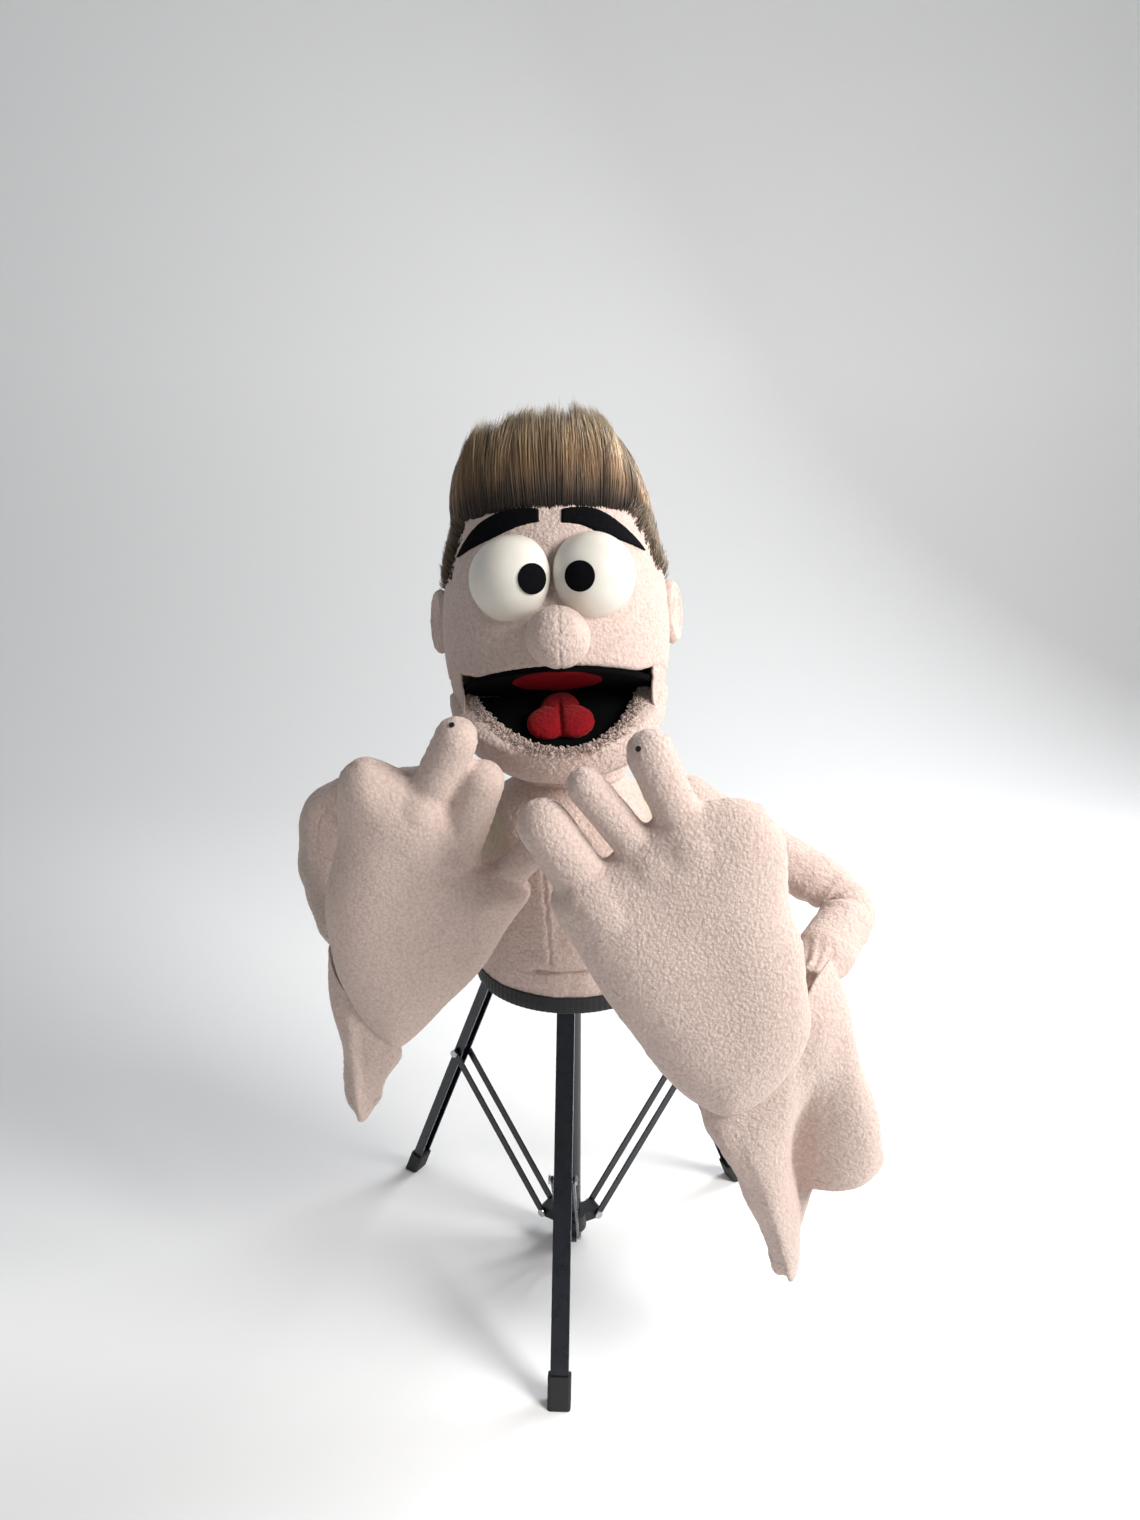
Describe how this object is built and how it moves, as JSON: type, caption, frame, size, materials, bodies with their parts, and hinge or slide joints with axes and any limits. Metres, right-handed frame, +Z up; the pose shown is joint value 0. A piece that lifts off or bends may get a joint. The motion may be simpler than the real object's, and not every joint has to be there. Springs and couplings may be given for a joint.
{
  "type": "hand puppet on stand",
  "caption": "Foam-and-fleece hand puppet with opening mouth, swept hair and stuffed sleeved gloves, resting on a black folding tripod with a sliding pole.",
  "frame": {"origin": "on the floor under the column's axis, 3 mm below the underside of the column's end plug", "axes": "+Z up along the column, the puppet's face looks along -Y, +X to the viewer's right"},
  "size_m": [0.5095, 0.3503, 0.8326],
  "materials": {
    "fleece": "matte",
    "foam": "matte",
    "hair_fur": "satin",
    "eye_plastic": "satin",
    "black_felt": "matte",
    "mouth_black": "matte",
    "palate_red": "matte",
    "tongue_red": "matte",
    "pocket_cloth": "matte",
    "hem_black": "matte",
    "stand_black": "satin",
    "pole_metal": "satin",
    "casting_plastic": "matte",
    "knob_plastic": "matte",
    "pin_steel": "satin",
    "foot_rubber": "matte",
    "block_wood": "matte",
    "stud_black": "matte"
  },
  "bodies": {
    "root": {"column_tube": "stand_black", "column_end_plug": "casting_plastic", "leg_spider": "stand_black", "spider_pins": "pin_steel", "height_collar": "casting_plastic"},
    "brace_front": {"brace_bars_front": "stand_black"},
    "leg_front": {"leg_front": "stand_black", "leg_rivets_front": "pin_steel", "foot_cap_front": "foot_rubber"},
    "brace_right": {"brace_bars_right": "stand_black"},
    "leg_right": {"leg_right": "stand_black", "leg_rivets_right": "pin_steel", "foot_cap_right": "foot_rubber"},
    "brace_left": {"brace_bars_left": "stand_black"},
    "leg_left": {"leg_left": "stand_black", "leg_rivets_left": "pin_steel", "foot_cap_left": "foot_rubber"},
    "hub": {"leg_hub": "casting_plastic"},
    "hub_knob": {"hub_lock_knob": "knob_plastic"},
    "height_knob": {"height_knob": "knob_plastic"},
    "pole": {"inner_pole": "pole_metal", "head_block": "block_wood"},
    "torso": {"torso_skin": "fleece", "torso_foam": "foam", "hem_band": "hem_black"},
    "neck": {"neck_tube": "fleece"},
    "head": {"head_skin": "fleece", "skull_foam": "foam", "crown_pad": "foam", "upper_mouth_plate": "mouth_black", "palate_patch": "palate_red", "mouth_hinge_strip": "mouth_black", "finger_pocket": "pocket_cloth", "nose": "fleece", "eye_dome_left": "eye_plastic", "eye_dome_right": "eye_plastic", "pupil_left": "black_felt", "pupil_right": "black_felt", "brow_left": "black_felt", "brow_right": "black_felt", "ear_left": "fleece", "ear_right": "fleece", "hair_quiff": "hair_fur", "hair_back": "hair_fur"},
    "jaw": {"jaw_skin": "fleece", "jaw_foam": "foam", "lower_mouth_plate": "mouth_black", "tongue": "tongue_red", "thumb_pocket": "pocket_cloth"},
    "upper_arm_left": {"upper_arm_left": "fleece"},
    "forearm_left": {"forearm_left": "fleece"},
    "hand_left": {"glove_left": "fleece", "cuff_left": "fleece", "finger_stud_left": "stud_black"},
    "upper_arm_right": {"upper_arm_right": "fleece"},
    "forearm_right": {"forearm_right": "fleece"},
    "hand_right": {"glove_right": "fleece", "cuff_right": "fleece", "finger_stud_right": "stud_black"}
  },
  "joints": [
    {"name": "brace_front_fold", "type": "hinge", "parent": "root", "child": "brace_front", "pos_m": [-0.00127, -0.02797, 0.024], "axis": [-0.999, 0.0454, 0], "range_deg": [0, 21.9]},
    {"name": "leg_front_fold", "type": "hinge", "parent": "brace_front", "child": "leg_front", "pos_m": [-0.00626, -0.13786, 0.178], "axis": [-0.999, 0.0454, 0], "range_deg": [-36, 0]},
    {"name": "brace_right_fold", "type": "hinge", "parent": "root", "child": "brace_right", "pos_m": [0.02486, 0.01289, 0.024], "axis": [0.4602, -0.8878, 0], "range_deg": [0, 22]},
    {"name": "leg_right_fold", "type": "hinge", "parent": "brace_right", "child": "leg_right", "pos_m": [0.12252, 0.06351, 0.178], "axis": [0.4602, -0.8878, 0], "range_deg": [-36, 0]},
    {"name": "brace_left_fold", "type": "hinge", "parent": "root", "child": "brace_left", "pos_m": [-0.02359, 0.01509, 0.024], "axis": [0.5388, 0.8425, 0], "range_deg": [0, 22]},
    {"name": "leg_left_fold", "type": "hinge", "parent": "brace_left", "child": "leg_left", "pos_m": [-0.11626, 0.07435, 0.178], "axis": [0.5388, 0.8425, 0], "range_deg": [-36, 0]},
    {"name": "hub_level", "type": "hinge", "parent": "leg_front", "child": "hub", "pos_m": [-0.00136, -0.02997, 0.438], "axis": [-0.999, 0.0454, 0], "range_deg": [0, 14]},
    {"name": "hub_lock_turn", "type": "hinge", "parent": "hub", "child": "hub_knob", "pos_m": [0.00136, 0.02997, 0.438], "axis": [0.0454, 0.999, 0], "range_deg": [0, 360]},
    {"name": "height_knob_turn", "type": "hinge", "parent": "root", "child": "height_knob", "pos_m": [0, 0.025, 0.516], "axis": [0, 1, 0], "range_deg": [0, 360]},
    {"name": "pole_height", "type": "slide", "parent": "root", "child": "pole", "axis": [0, 0, 1], "range_m": [0, 0.15]},
    {"name": "puppet_lift_off", "type": "slide", "parent": "pole", "child": "torso", "axis": [0, 0, 1], "range_m": [0, 0.4]},
    {"name": "neck_turn", "type": "hinge", "parent": "torso", "child": "neck", "pos_m": [0, 0, 0.512], "axis": [0, 0, 1], "range_deg": [-20, 20]},
    {"name": "head_nod", "type": "hinge", "parent": "neck", "child": "head", "pos_m": [0, 0, 0.65], "axis": [1, 0, 0], "range_deg": [-8, 6]},
    {"name": "jaw_hinge", "type": "hinge", "parent": "head", "child": "jaw", "pos_m": [-0.00964, -0.03374, 0.5964], "axis": [0.999, 0, 0.0436], "range_deg": [-35, 8]},
    {"name": "shoulder_left_swing", "type": "hinge", "parent": "torso", "child": "upper_arm_left", "pos_m": [-0.09, 0.004, 0.497], "axis": [0, 0, -1], "range_deg": [0, 35]},
    {"name": "elbow_left_open", "type": "hinge", "parent": "upper_arm_left", "child": "forearm_left", "pos_m": [-0.228, 0.024, 0.476], "axis": [0.2047, 0.7419, -0.6385], "range_deg": [0, 40]},
    {"name": "wrist_left_tip", "type": "hinge", "parent": "forearm_left", "child": "hand_left", "pos_m": [-0.191, -0.084, 0.374], "axis": [1, 0, 0], "range_deg": [0, 12]},
    {"name": "shoulder_right_swing", "type": "hinge", "parent": "torso", "child": "upper_arm_right", "pos_m": [0.09, 0.004, 0.497], "axis": [0, 0, 1], "range_deg": [0, 35]},
    {"name": "elbow_right_open", "type": "hinge", "parent": "upper_arm_right", "child": "forearm_right", "pos_m": [0.253, -0.058, 0.409], "axis": [0.2885, -0.4449, 0.8478], "range_deg": [0, 40]},
    {"name": "wrist_right_tip", "type": "hinge", "parent": "forearm_right", "child": "hand_right", "pos_m": [0.202, -0.148, 0.385], "axis": [1, 0, 0], "range_deg": [0, 25]}
  ],
  "couplings": [
    {"joint": "leg_front_fold", "follows": "brace_front_fold", "ratio": -1.6335},
    {"joint": "brace_right_fold", "follows": "brace_front_fold", "ratio": 1},
    {"joint": "leg_right_fold", "follows": "brace_front_fold", "ratio": -1.6335},
    {"joint": "brace_left_fold", "follows": "brace_front_fold", "ratio": 1},
    {"joint": "leg_left_fold", "follows": "brace_front_fold", "ratio": -1.6335},
    {"joint": "hub_level", "follows": "brace_front_fold", "ratio": 0.6335}
  ]
}
